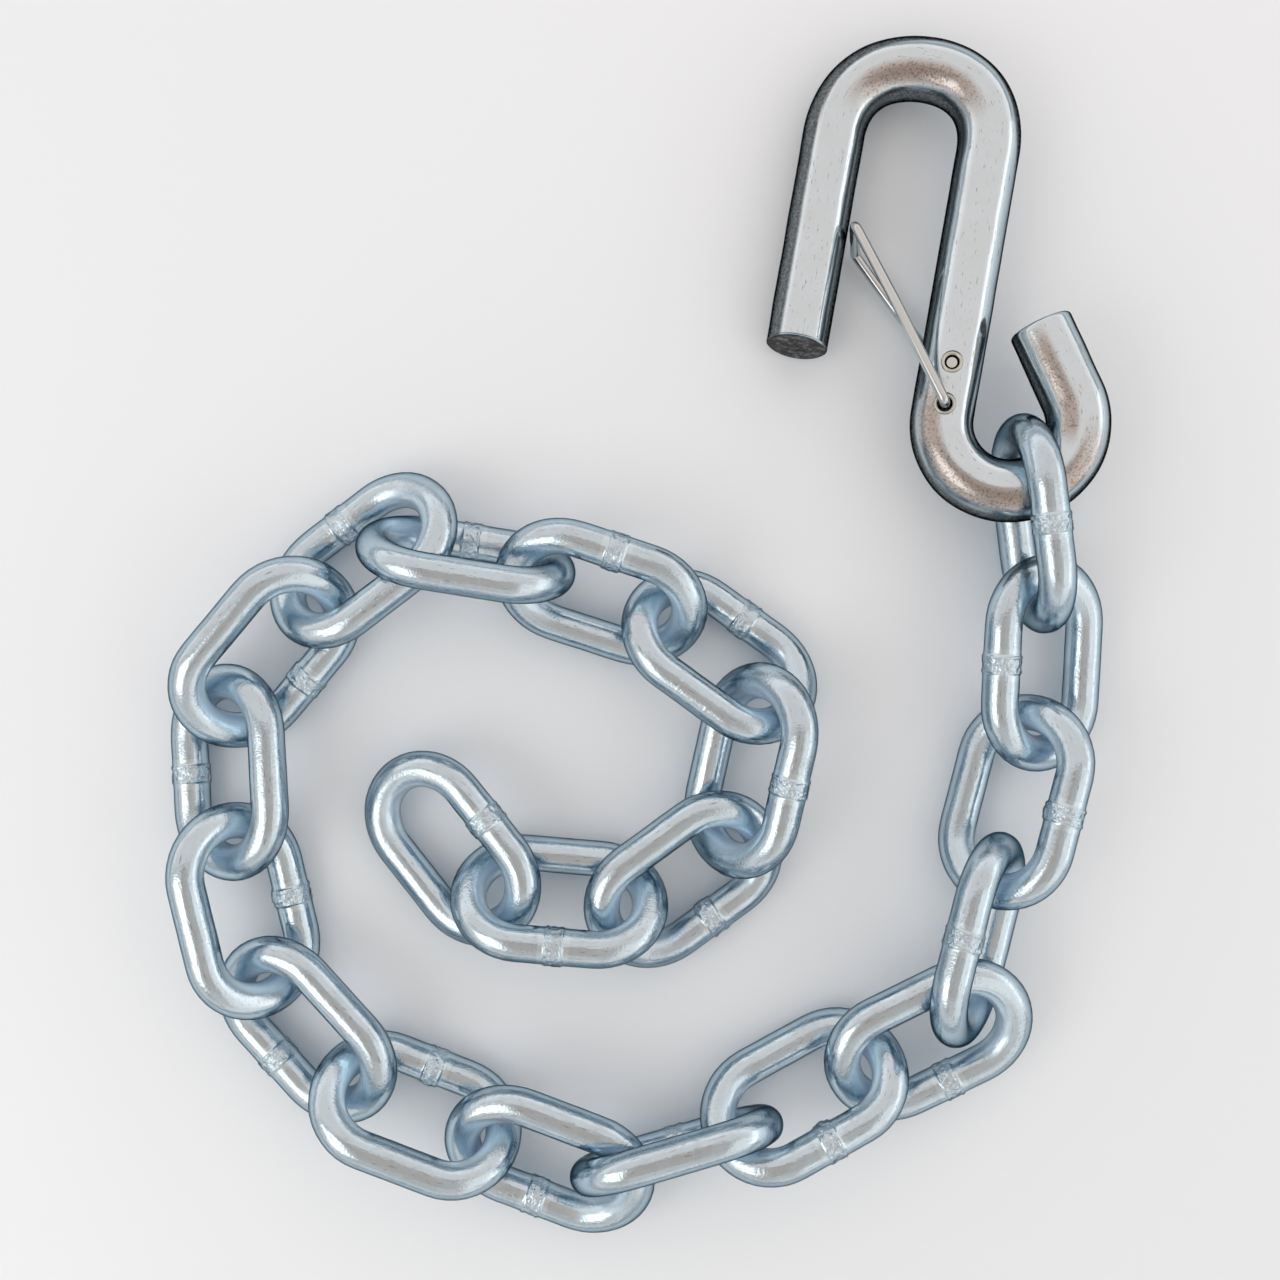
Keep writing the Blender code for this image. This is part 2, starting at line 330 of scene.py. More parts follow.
PATCH_SCALE = 230.0
PATCH_DETAIL = 5.0
SPECK_SCALE = 2300.0
STROKE_SCALE = (480.0, 2900.0, 2900.0)
DRAWN_LINE_SCALE = (300.0, 2300.0, 2300.0)
CRINKLE_SCALE = 1100.0
CRINKLE_HEIGHT = 0.45 * MM
FINE_DETAIL = 3.0
DULL_PATCHES = (0.42, 0.72)
ROUGH_PATCHES = (0.3, 0.75)
ROUGHEST_PATCH = 1.8
GRAINY_PATCHES = (0.35, 0.65)
LEAST_GRAIN = 0.3
STROKES_SHOWN = (0.64, 0.74)
STROKE_STRENGTH = 0.75
SPECKS_SHOWN = (0.69, 0.79)
SPECK_STRENGTH = 0.7
WORN_HAZE = 0.85
WORN_STROKES = 0.02
WORN_SPECKS = 0.17
WORN_ROUGHNESS = 0.08
WORN_GRAIN_HEIGHT = 0.03 * MM
# Painted bounce light: a paler, bluer and less metallic colour on the inside of each chain bend, where light
# bounced between the nested links would brighten the zinc.
BOUNCE_LIGHT_COLOUR = (0.63, 0.80, 0.93)
BOUNCE_LIGHT_METAL_LOSS = 0.45
BAND_COLOUR = (0.58, 0.72, 0.80)
BAND_ROUGHNESS = 0.14
BAND_STRENGTH = 0.65
BAND_STARTS = (1.65 * MM, 1.95 * MM)
BAND_ENDS = (2.8 * MM, 3.1 * MM)
# Painted shade: the dark, grainy colour laid on the hook's flanks, standing in for the shadowed floor and
# dark surroundings that the flanks reflect.
SHADE_PAINT_DARK = (0.04, 0.042, 0.045)
SHADE_PAINT_PALE = (0.20, 0.205, 0.20)
SHADE_PAINT_GRAIN = (0.42, 0.62)
SHADE_PAINT_ROUGHNESS = 0.12
LEAST_LINK_WEAR = 0.08
BEND_WEAR = 0.12
BEND_WEAR_STARTS = (half_straight * 0.6, half_straight * 1.5)
# How deep into the inside of a bend, and how far round it, the painted bounce light reaches.
BOUNCE_LIGHT_DEPTH = (0.1, 0.8)
BOUNCE_LIGHT_REACH = (-0.5 * WIRE_RADIUS, WIRE_RADIUS)


def plated(
    name, colour, dull_colour, haze_colour, pit_colour, roughness, edge_tint, line_height, grain_height
):
    """Zinc plate: cloudy patches, fine grain, lines and scratches along the bar, dark specks where worn.

    Attributes say where it is worn, where dark, grainy painted shade lies on its flanks, where it is crinkled
    by a weld or smooth and pale beside one, and where painted bounce light makes the inside of a bend paler,
    bluer and less metallic. A piece without one of them has none of it.
    """
    finish = bpy.data.materials.new(name)
    finish.use_nodes = True
    tree = finish.node_tree
    shader = tree.nodes["Principled BSDF"]
    shader.inputs["Specular Tint"].default_value = (*edge_tint, 1.0)

    def node(kind, **values):
        made = tree.nodes.new("ShaderNode" + kind)
        for key, value in values.items():
            made.inputs[key.replace("_", " ")].default_value = value
        return made

    def noise(vector, scale, detail):
        made = node("TexNoise", Scale=scale, Detail=detail)
        tree.links.new(vector, made.inputs["Vector"])
        return made.outputs["Fac"]

    def attribute(attribute_name, output):
        made = node("Attribute")
        made.attribute_name = attribute_name
        return made.outputs[output]

    def along_bar(scale):
        made = node("Mapping", Scale=scale)
        tree.links.new(attribute("bar_place", "Vector"), made.inputs["Vector"])
        return made.outputs["Vector"]

    def ranged(value, span, low, high):
        made = node("MapRange", From_Min=span[0], From_Max=span[1], To_Min=low, To_Max=high)
        tree.links.new(value, made.inputs["Value"])
        return made.outputs["Result"]

    def mixed(factor, one, two):
        made = node("Mix")
        made.data_type = "RGBA"
        tree.links.new(factor, made.inputs["Factor"])
        for socket, paint in (("A", one), ("B", two)):
            if isinstance(paint, tuple):
                made.inputs[socket].default_value = (*paint, 1.0)
            else:
                tree.links.new(paint, made.inputs[socket])
        return made.outputs["Result"]

    def raised(base, value, share):
        """The base, raised by a share of the value."""
        made = node("Math")
        made.operation = "MULTIPLY_ADD"
        tree.links.new(value, made.inputs[0])
        made.inputs[1].default_value = share
        if isinstance(base, float):
            made.inputs[2].default_value = base
        else:
            tree.links.new(base, made.inputs[2])
        return made.outputs["Value"]

    def bump(height, distance, strength=None, under=None):
        made = node("Bump", Distance=distance)
        tree.links.new(height, made.inputs["Height"])
        if strength:
            tree.links.new(strength, made.inputs["Strength"])
        if under:
            tree.links.new(under, made.inputs["Normal"])
        return made.outputs["Normal"]

    place = node("TexCoord").outputs["Object"]
    worn = attribute("wear", "Fac")
    band = attribute("smooth_band", "Fac")
    weld = attribute("weld", "Fac")
    painted_flank_shade = attribute("painted_flank_shade", "Fac")
    bounce_light = attribute("painted_bounce_light", "Fac")
    patches = noise(place, PATCH_SCALE, PATCH_DETAIL)
    specks = noise(place, SPECK_SCALE, FINE_DETAIL)
    strokes = noise(along_bar(STROKE_SCALE), 1.0, FINE_DETAIL)

    plain = mixed(ranged(patches, DULL_PATCHES, 0.0, 1.0), colour, dull_colour)
    hazed = mixed(raised(0.0, worn, WORN_HAZE), plain, haze_colour)
    stroke_share = ranged(raised(strokes, worn, WORN_STROKES), STROKES_SHOWN, 0.0, STROKE_STRENGTH)
    speck_share = ranged(raised(specks, worn, WORN_SPECKS), SPECKS_SHOWN, 0.0, SPECK_STRENGTH)
    pitted = mixed(speck_share, mixed(stroke_share, hazed, pit_colour), pit_colour)
    # Painted bounce light inside the bends, then the pale band beside the weld.
    banded = mixed(band, mixed(bounce_light, pitted, BOUNCE_LIGHT_COLOUR), BAND_COLOUR)
    # Painted shade: a dark, grainy colour laid over the plate on the hook's flanks.
    flank_shade_paint = mixed(ranged(specks, SHADE_PAINT_GRAIN, 0.0, 1.0), SHADE_PAINT_DARK, SHADE_PAINT_PALE)
    tree.links.new(mixed(painted_flank_shade, banded, flank_shade_paint), shader.inputs["Base Color"])
    # Less metallic under the painted bounce light.
    tree.links.new(raised(1.0, bounce_light, -BOUNCE_LIGHT_METAL_LOSS), shader.inputs["Metallic"])

    plain_dull = ranged(patches, ROUGH_PATCHES, roughness, roughness * ROUGHEST_PATCH)
    worn_dull = raised(plain_dull, worn, WORN_ROUGHNESS)
    banded_dull = raised(worn_dull, band, BAND_ROUGHNESS)
    tree.links.new(raised(banded_dull, painted_flank_shade, SHADE_PAINT_ROUGHNESS), shader.inputs["Roughness"])

    lines = bump(noise(along_bar(DRAWN_LINE_SCALE), 1.0, FINE_DETAIL), line_height)
    grain_share = ranged(patches, GRAINY_PATCHES, LEAST_GRAIN, 1.0)
    grain = bump(specks, grain_height, strength=grain_share, under=lines)
    crinkle = bump(noise(place, CRINKLE_SCALE, FINE_DETAIL), CRINKLE_HEIGHT, strength=weld, under=grain)
    tree.links.new(bump(specks, WORN_GRAIN_HEIGHT, strength=worn, under=crinkle), shader.inputs["Normal"])
    return finish


def band_value(point):
    """The pale, smooth band beside each end of the bead, where the weld's heat dulled the wire."""
    if point.y < 0:
        return 0.0
    outer_edge = smooth_fall(abs(point.x), *BAND_ENDS)
    inner_edge = 1.0 - smooth_fall(abs(point.x), *BAND_STARTS)
    return BAND_STRENGTH * outer_edge * inner_edge


def link_wear(point):
    """A little on the legs, and more round the bends, where the links rub."""
    return LEAST_LINK_WEAR + BEND_WEAR * (1.0 - smooth_fall(abs(point.x), *BEND_WEAR_STARTS))


def inside_bend(point):
    """1 on the inside of each bend, where the links nest and the painted bounce light goes."""
    away = Vector((abs(point.x) - half_straight, point.y))
    depth = (bend_radius - away.length) / WIRE_RADIUS
    return (1.0 - smooth_fall(depth, *BOUNCE_LIGHT_DEPTH)) * (1.0 - smooth_fall(away.x, *BOUNCE_LIGHT_REACH))


store_values(link_form, "smooth_band", band_value)
store_values(link_form, "wear", link_wear)
store_values(link_form, "weld", bead_weight)
# Painted bounce light: its mask on the inside of each bend.
store_values(link_form, "painted_bounce_light", inside_bend)
chain_finish = plated(
    "bright zinc chain",
    colour=(0.52, 0.66, 0.76),
    dull_colour=(0.48, 0.59, 0.67),
    haze_colour=(0.44, 0.52, 0.58),
    pit_colour=(0.30, 0.32, 0.33),
    roughness=0.09,
    edge_tint=(0.05, 0.08, 0.10),
    line_height=0.03 * MM,
    grain_height=0.06 * MM,
)

weld_bumps = bumps("weld bumps", WELD_ROUGHNESS_SIZE, 2)
wire_waves = bumps("wire waves", WIRE_WAVE_SIZE, 1)
for number in range(1, LINK_COUNT + 1):
    node = bpy.data.objects[f"link_{number:02d}"]
    link = link_form.copy()
    link.data = link_form.data.copy()
    link.name = f"welded_link_{number:02d}"
    link.data.name = link.name
    bpy.context.scene.collection.objects.link(link)
    flash_share = 0.5 + 0.5 * math.sin(FLASH_CHANGE * number)
    mark_share = 1.0 if number in CLEAR_CLAMP_MARKS else FAINT_MARK_SHARE
    rough_share = ROUGHEST_WELD_SHARE if number == ROUGHEST_WELD else 1.0
    push(link, "flash", -FLASH_HEIGHT * flash_share, "Y", "flash")
    push(link, "clamp marks", CLAMP_MARK_HEIGHT * mark_share, group="clamp marks")
    link.data.transform(node_axes(node))
    push(link, "weld bumps", WELD_ROUGHNESS_HEIGHT * rough_share, group="bead", texture=weld_bumps)
    push(link, "wire waves", WIRE_WAVE_HEIGHT, texture=wire_waves)
    link.data.materials.append(chain_finish)
    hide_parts(node.name)
    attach(link, "chain_and_hook")
bpy.data.objects.remove(link_form)


# Hook
# One round steel bar, bent cold to an open loop and a tighter curl, sawn at the loop's end and
# sheared at the curl's. The two cross holes of the latch are drilled and spot-faced.
BAR_RADIUS = 6.0 * MM
LOOP_RADIUS = 14.9 * MM
LOOP_SQUARENESS = 0.035
CURL_RADIUS = 12.7 * MM
SHANK_LENGTH = 51.1 * MM
LOOP_LEG_LENGTH = 42.0 * MM
CURL_TURN = math.radians(213.0)
CURL_TIP_LENGTH = 14.4 * MM
SAW_CUT_TILT = math.radians(10.0)
SAW_TILT_FADES = 4.0 * MM
HOOK_HEADING = math.radians(-10.0)
HOOK_PITCH = math.radians(-1.0)
HOOK_ROLL = math.radians(-9.0)
PIVOT_UP = 1.0 * MM
HOLE_SPACING = 8.0 * MM
HOLE_RADIUS = 1.4 * MM
HOLE_SIDES = 32
SPOT_FACE_RADIUS = 2.15 * MM
SPOT_FACE_DEPTH = 0.36 * MM
SPOT_FACE_CUT = 2.0 * MM
SPOT_FACE_SIDES = 48
PRESSED_RIM_RADIUS = 1.72 * MM
PRESSED_RIM_THICKNESS = 0.34 * MM
PRESSED_RIM_SINK = 0.42 * MM
PRESSED_RIM_SIDES = 64
PRESSED_RIM_ROUNDNESS = 20
BAR_SIDES = 80
BAR_STEP = 0.7 * MM
BAR_SEAM = 0.005 * MM
SAWN_RING_SHARES = (0.08, 0.25, 0.42, 0.58, 0.72, 0.84)
SAWN_RIM = 0.35 * MM
SAWN_RIM_DEPTH = 0.7 * SAWN_RIM
SHEARED_RING_SHARES = (0.7, 0.5, 0.3, 0.1)
TIP_RIM = 0.8 * MM
TIP_RIM_TURNS = (0.35, 0.7, 1.0)
TIP_RIM_LAST_STEP = 0.12
END_FACING = 0.97
BAR_WAVE_SIZE = 9.0 * MM
BAR_WAVE_HEIGHT = 0.16 * MM
BAR_SMOOTH_UP_TO = math.radians(35.0)
LEAST_TURN = 1e-6
STAND_STILL = (0.0, 0.0, 0.0)


def straight_points(start, end):
    """Points on a straight stretch about one bar step apart, without its start."""
    count = max(1, round((end - start).length / BAR_STEP))
    return [start.lerp(end, step / count) for step in range(1, count + 1)]


def draw_along(line, tilt, tilt_fades):
    """Extrude the selected ring along a line, turning it to stay square to the line.

    The tilt about X that the ring starts with fades over a distance.
    """
    ways = [(after - before).normalized() for before, after in zip(line, line[1:])]
    travelled = 0.0
    for index, way in enumerate(ways):
        step = line[index + 1] - line[index]
        next_way = ways[min(index + 1, len(ways) - 1)]
        old_square = way if index == 0 else way + ways[index - 1]
        turn = old_square.xy.angle_signed((way + next_way).xy)
        bpy.ops.mesh.extrude_region_move(TRANSFORM_OT_translate={"value": step})
        if abs(turn) > LEAST_TURN:
            bpy.ops.transform.rotate(value=turn, orient_axis="Z", center_override=line[index + 1])
        fade = min(step.length, max(tilt_fades - travelled, 0.0)) / tilt_fades
        if fade:
            bpy.ops.transform.rotate(value=-tilt * fade, orient_axis="X", center_override=line[index + 1])
        travelled += step.length


def end_ring(radius, new_radius, move, centre):
    """Extrude the selected end face once more, to a new radius and a little further on."""
    bpy.ops.mesh.extrude_region_move(TRANSFORM_OT_translate={"value": move})
    ratio = new_radius / radius
    bpy.ops.transform.resize(value=(ratio, ratio, ratio), center_override=Vector(centre) + Vector(move))


loop_centre = Vector((-CURL_RADIUS - LOOP_RADIUS, SHANK_LENGTH, 0.0))
leg_end = Vector((loop_centre.x - LOOP_RADIUS, SHANK_LENGTH - LOOP_LEG_LENGTH, 0.0))
hook_line = [leg_end] + straight_points(leg_end, Vector((leg_end.x, SHANK_LENGTH, 0.0)))
arch_steps = round(math.pi * LOOP_RADIUS / BAR_STEP)
for step in range(1, arch_steps + 1):
    angle = math.pi - math.pi * step / arch_steps
    radius = LOOP_RADIUS * (1 + LOOP_SQUARENESS * math.sin(2 * angle) ** 2)
    hook_line.append(loop_centre + radius * Vector((math.cos(angle), math.sin(angle), 0.0)))
hook_line += straight_points(hook_line[-1], Vector((-CURL_RADIUS, 0.0, 0.0)))
curl_steps = round(CURL_TURN * CURL_RADIUS / BAR_STEP)
hook_line += arc_points((0.0, 0.0), CURL_RADIUS, math.pi, CURL_TURN, curl_steps)[1:]
tip_way = Vector((math.sin(CURL_TURN), -math.cos(CURL_TURN), 0.0))
hook_line += straight_points(hook_line[-1], hook_line[-1] + CURL_TIP_LENGTH * tip_way)

sawn_radii = [BAR_RADIUS * share for share in SAWN_RING_SHARES] + [BAR_RADIUS - SAWN_RIM]
hook = start_ring("hook_bar", sawn_radii[0], BAR_SIDES, leg_end, (math.pi / 2, 0.0, 0.0))
bpy.ops.transform.rotate(value=SAW_CUT_TILT, orient_axis="X", center_override=leg_end)
bpy.ops.mesh.edge_face_add()
for radius, new_radius in zip(sawn_radii, sawn_radii[1:]):
    end_ring(radius, new_radius, STAND_STILL, leg_end)
end_ring(sawn_radii[-1], BAR_RADIUS, (0.0, SAWN_RIM_DEPTH, 0.0), leg_end)
hook_line[0] = leg_end + Vector((0.0, SAWN_RIM_DEPTH, 0.0))
draw_along(hook_line, SAW_CUT_TILT, SAW_TILT_FADES)
tip_end = hook_line[-1]
radius = BAR_RADIUS
reached = 0.0
for turn in TIP_RIM_TURNS:
    new_radius = BAR_RADIUS - TIP_RIM * (1.0 - math.cos(turn * math.pi / 2))
    reach = math.sin(turn * math.pi / 2) if turn < 1 else reached + TIP_RIM_LAST_STEP
    move = tip_way * TIP_RIM * (reach - reached)
    end_ring(radius, new_radius, move, tip_end)
    tip_end = tip_end + move
    radius = new_radius
    reached = reach
for share in SHEARED_RING_SHARES:
    end_ring(radius, BAR_RADIUS * share, STAND_STILL, tip_end)
    radius = BAR_RADIUS * share
close_ring_mesh(BAR_SEAM)

hook_turn = Matrix.Rotation(HOOK_HEADING, 3, "Z") @ Matrix.Rotation(HOOK_PITCH, 3, "X")
hook_turn = hook_turn @ Matrix.Rotation(HOOK_ROLL, 3, "Y")
lower_hole = Vector((-CURL_RADIUS, PIVOT_UP, 0.0))
upper_hole = lower_hole + Vector((0.0, HOLE_SPACING, 0.0))
pivot = Vector(frame["record"]["behaviour"]["joints"][0]["pos_m"])
hook_place = Matrix.Translation(pivot - hook_turn @ lower_hole) @ hook_turn.to_4x4()


def drill(obj, place, radius, depth, top, sides):
    """Cut a round hole from a height down, with a cylinder that is then removed."""
    bpy.ops.object.select_all(action="DESELECT")
    middle = (place.x, place.y, top - depth / 2)
    bpy.ops.mesh.primitive_cylinder_add(vertices=sides, radius=radius, depth=depth, location=middle)
    drill_bit = bpy.context.active_object
    bpy.ops.object.transform_apply(location=True, rotation=True, scale=True)
    bpy.ops.object.select_all(action="DESELECT")
    bpy.context.view_layer.objects.active = obj
    obj.select_set(True)
    modifier = obj.modifiers.new("drill", "BOOLEAN")
    modifier.operation = "DIFFERENCE"
    modifier.solver = "EXACT"
    modifier.object = drill_bit
    bpy.ops.object.modifier_apply(modifier="drill")
    bpy.data.objects.remove(drill_bit)


spot_face_top = BAR_RADIUS - SPOT_FACE_DEPTH + SPOT_FACE_CUT
for hole in (lower_hole, upper_hole):
    drill(hook, hole, SPOT_FACE_RADIUS, SPOT_FACE_CUT, spot_face_top, SPOT_FACE_SIDES)
    drill(hook, hole, HOLE_RADIUS, 4.0 * BAR_RADIUS, 2.0 * BAR_RADIUS, HOLE_SIDES)

hook_finish = plated(
    "bright zinc hook",
    colour=(0.575, 0.69, 0.765),
    dull_colour=(0.56, 0.66, 0.715),
    haze_colour=(0.36, 0.33, 0.31),
    pit_colour=(0.20, 0.165, 0.14),
    roughness=0.085,
    edge_tint=(0.0, 0.0, 0.0),
    line_height=0.012 * MM,
    grain_height=0.008 * MM,
)

SAWN_METALLIC = 0.7
SAWN_ROUGHNESS = 0.42
SAWN_SCALE = 620.0
SAWN_DETAIL = 6.0
SAWN_DETAIL_ROUGHNESS = 0.7
SAWN_DARK = (0.50, (0.008, 0.009, 0.01, 1.0))
SAWN_PALE = (0.70, (0.24, 0.25, 0.25, 1.0))
SAWN_HEIGHT = 0.45 * MM
sawn_steel = bpy.data.materials.new("sawn steel")
sawn_steel.use_nodes = True
sawn_tree = sawn_steel.node_tree
sawn_shader = sawn_tree.nodes["Principled BSDF"]
sawn_shader.inputs["Metallic"].default_value = SAWN_METALLIC
sawn_shader.inputs["Roughness"].default_value = SAWN_ROUGHNESS
sawn_place = sawn_tree.nodes.new("ShaderNodeTexCoord")
sawn_noise = sawn_tree.nodes.new("ShaderNodeTexNoise")
sawn_noise.inputs["Scale"].default_value = SAWN_SCALE
sawn_noise.inputs["Detail"].default_value = SAWN_DETAIL
sawn_noise.inputs["Roughness"].default_value = SAWN_DETAIL_ROUGHNESS
sawn_tree.links.new(sawn_place.outputs["Object"], sawn_noise.inputs["Vector"])
sawn_ramp = sawn_tree.nodes.new("ShaderNodeValToRGB")
for stop, (position, colour) in zip(sawn_ramp.color_ramp.elements, (SAWN_DARK, SAWN_PALE)):
    stop.position = position
    stop.color = colour
sawn_tree.links.new(sawn_noise.outputs["Fac"], sawn_ramp.inputs["Fac"])
sawn_tree.links.new(sawn_ramp.outputs["Color"], sawn_shader.inputs["Base Color"])
sawn_bump = sawn_tree.nodes.new("ShaderNodeBump")
sawn_bump.inputs["Distance"].default_value = SAWN_HEIGHT
sawn_tree.links.new(sawn_noise.outputs["Fac"], sawn_bump.inputs["Height"])
sawn_tree.links.new(sawn_bump.outputs["Normal"], sawn_shader.inputs["Normal"])


def bright_steel(name, colour, roughness):
    """Plain bright metal without a pattern."""
    finish = bpy.data.materials.new(name)
    finish.use_nodes = True
    shader = finish.node_tree.nodes["Principled BSDF"]
    shader.inputs["Base Color"].default_value = (*colour, 1.0)
    shader.inputs["Metallic"].default_value = 1.0
    shader.inputs["Roughness"].default_value = roughness
    return finish


pressed_rim = bright_steel("pressed rim", (0.52, 0.55, 0.50), 0.24)
hook.data.materials.append(hook_finish)
hook.data.materials.append(sawn_steel)
hook.data.materials.append(pressed_rim)
SAWN_STEEL_INDEX = 1
saw_way = Vector((0.0, -math.cos(SAW_CUT_TILT), math.sin(SAW_CUT_TILT)))
for face in hook.data.polygons:
    on_saw_cut = (face.center - leg_end).length < BAR_RADIUS and face.normal.dot(saw_way) > END_FACING
    on_shear = (face.center - tip_end).length < BAR_RADIUS and face.normal.dot(tip_way) > END_FACING
    if on_saw_cut or on_shear:
        face.material_index = SAWN_STEEL_INDEX

for hole in (lower_hole, upper_hole):
    bpy.ops.object.select_all(action="DESELECT")
    bpy.ops.mesh.primitive_torus_add(
        major_segments=PRESSED_RIM_SIDES,
        minor_segments=PRESSED_RIM_ROUNDNESS,
        major_radius=PRESSED_RIM_RADIUS,
        minor_radius=PRESSED_RIM_THICKNESS,
        location=(hole.x, hole.y, BAR_RADIUS - PRESSED_RIM_SINK),
    )
    rim = bpy.context.active_object
    bpy.ops.object.transform_apply(location=True, rotation=True, scale=True)
    rim.data.materials.append(pressed_rim)
    bpy.context.view_layer.objects.active = hook
    hook.select_set(True)
    bpy.ops.object.join()
store_bar_place(hook, hook_line)

CURL_WORN_SHARE = 0.38
TIP_WORN_BEYOND = 2.0 * MM
ARCH_WORN = (11.0 * MM, 21.0 * MM)
CURL_WORN = (17.0 * MM, 26.0 * MM)
TIP_WORN = (8.0 * MM, 14.0 * MM)
FLANK_WORN_ASIDE = -2.6 * MM
FLANK_WORN = (1.0 * MM, 2.8 * MM)
TIP_WORN_ASIDE = 2.2 * MM
TIP_FLANK_WORN = (0.9 * MM, 2.0 * MM)
LEAST_HOOK_WEAR = 0.06
# Where the hook's flanks get painted shade: dark bands that stand in for the shadowed floor and dark
# surroundings reflected there.
LEG_SHADED = (LOOP_LEG_LENGTH + 8.0 * MM, LOOP_LEG_LENGTH + 34.0 * MM)
ARCH_SHADED = (14.0 * MM, 30.0 * MM)
SHANK_LESS_SHADED = (20.0 * MM, 30.0 * MM)
FLANK_SHADE_START = 0.80
LEG_SHADE_WIDER = 0.32
ARCH_SHADE_WIDER = 0.12
SHANK_SHADE_NARROWER = 0.12
SHADE_EDGE = 0.5 * MM
SHADE_STRENGTH = 0.85

arch_end = LOOP_LEG_LENGTH + math.pi * LOOP_RADIUS
curl_length = CURL_RADIUS * CURL_TURN
arch_middle = LOOP_LEG_LENGTH + math.pi * LOOP_RADIUS / 2
shank_middle = arch_end + SHANK_LENGTH / 2
curl_worn_middle = arch_end + SHANK_LENGTH + curl_length * CURL_WORN_SHARE
tip_worn_middle = arch_end + SHANK_LENGTH + curl_length + TIP_WORN_BEYOND


def hook_wear(along, aside):
    """Worn most on the inside of the loop's arch, the outside of the curl and the inside of its tip."""
    arch = smooth_fall(abs(along - arch_middle), *ARCH_WORN)
    curl = smooth_fall(abs(along - curl_worn_middle), *CURL_WORN)
    tip = smooth_fall(abs(along - tip_worn_middle), *TIP_WORN)
    flank = smooth_fall(abs(aside - FLANK_WORN_ASIDE), *FLANK_WORN)
    tip_flank = smooth_fall(abs(aside - TIP_WORN_ASIDE), *TIP_FLANK_WORN)
    return LEAST_HOOK_WEAR + (1.0 - LEAST_HOOK_WEAR) * max(arch * flank, curl * flank, tip * tip_flank)


def hook_painted_shade(along, aside):
    """Painted shade: dark and grainy low on the flanks, standing in for the shadowed floor and dark
    surroundings that the flanks reflect. Widest on the open leg's outer side and narrowest on the shank's.
    """
    outer = 1.0 if aside > 0 else 0.0
    leg = outer * smooth_fall(along, *LEG_SHADED)
    arch = outer * smooth_fall(abs(along - arch_middle), *ARCH_SHADED)
    shank = outer * smooth_fall(abs(along - shank_middle), *SHANK_LESS_SHADED)
    wider = LEG_SHADE_WIDER * leg + ARCH_SHADE_WIDER * arch - SHANK_SHADE_NARROWER * shank
    start = BAR_RADIUS * (FLANK_SHADE_START - wider)
    return SHADE_STRENGTH * (1.0 - smooth_fall(abs(aside), start, start + SHADE_EDGE))


# The wear and the painted flank shade, stored as point attributes.
bar_places = np.empty(len(hook.data.vertices) * 3, np.float32)
hook.data.attributes["bar_place"].data.foreach_get("vector", bar_places)
for name, value_at in (("wear", hook_wear), ("painted_flank_shade", hook_painted_shade)):
    values = [value_at(float(along), float(aside)) for along, aside, _ in bar_places.reshape(-1, 3)]
    attribute = hook.data.attributes.new(name, "FLOAT", "POINT")
    attribute.data.foreach_set("value", values)
hook.data.transform(hook_place)
push(hook, "bar waves", BAR_WAVE_HEIGHT, texture=bumps("bar waves", BAR_WAVE_SIZE, 1))
bpy.ops.object.shade_smooth_by_angle(angle=BAR_SMOOTH_UP_TO)
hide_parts("s_hook")
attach(hook, "chain_and_hook")


# Latch
# One hard-drawn spring wire, bent to a narrow U. It springs against the open leg with its tip, and
# both its ends are turned into the shank's cross holes, one from above and one from below.
LATCH_RADIUS = 1.0 * MM
LATCH_CLEARANCE = 0.3 * MM
LATCH_TIP_FRONT_UP = 33.0 * MM
LATCH_TIP_BACK_UP = 29.8 * MM
LATCH_TIP_BACK_INSET = 0.6 * MM
LATCH_TIP_HALF_WIDTH = 4.5 * MM
LATCH_STRAIGHT_SHARE = 0.55
LATCH_FOOT_DEPTH = 5.0 * MM
LATCH_END_HEIGHT = 5.3 * MM
FLEX_LENGTH = 6.0 * MM
FOOT_BEND = 1.5 * MM
KNEE_BEND = 25.0 * MM
TIP_BEND = 1.3 * MM
BEND_LINE_CUTS = 8
LATCH_ROUNDNESS = 6
LATCH_SEAM = 0.005 * MM
LATCH_SMOOTH_UP_TO = math.radians(40.0)


def rounded_points(corners, radii):
    """A line through corners, each inner one rounded off with its own radius."""
    points = [corners[0]]
    for before, corner, after, radius in zip(corners, corners[1:], corners[2:], radii):
        back = (before - corner).normalized()
        ahead = (after - corner).normalized()
        cut = radius / math.tan(back.angle(ahead) / 2)
        for step in range(BEND_LINE_CUTS + 1):
            t = step / BEND_LINE_CUTS
            one = (corner + back * cut).lerp(corner, t)
            two = corner.lerp(corner + ahead * cut, t)
            points.append(one.lerp(two, t))
    return points + [corners[-1]]


def latch_wire_mesh(name, points):
    """The latch's round wire along points, as a curve that is then made a mesh."""
    bpy.ops.object.select_all(action="DESELECT")
    bpy.ops.curve.primitive_nurbs_path_add()
    wire = bpy.context.active_object
    wire.name = name
    wire.data.splines.clear()
    spline = wire.data.splines.new("POLY")
    spline.points.add(len(points) - 1)
    for place, point in zip(points, spline.points):
        point.co = (*place, 1.0)
    wire.data.bevel_depth = LATCH_RADIUS
    wire.data.bevel_resolution = LATCH_ROUNDNESS
    wire.data.use_fill_caps = True
    bpy.ops.object.convert(target="MESH")
    wire = bpy.context.active_object
    wire.data.name = name
    bpy.ops.object.mode_set(mode="EDIT")
    close_ring_mesh(LATCH_SEAM)
    return wire


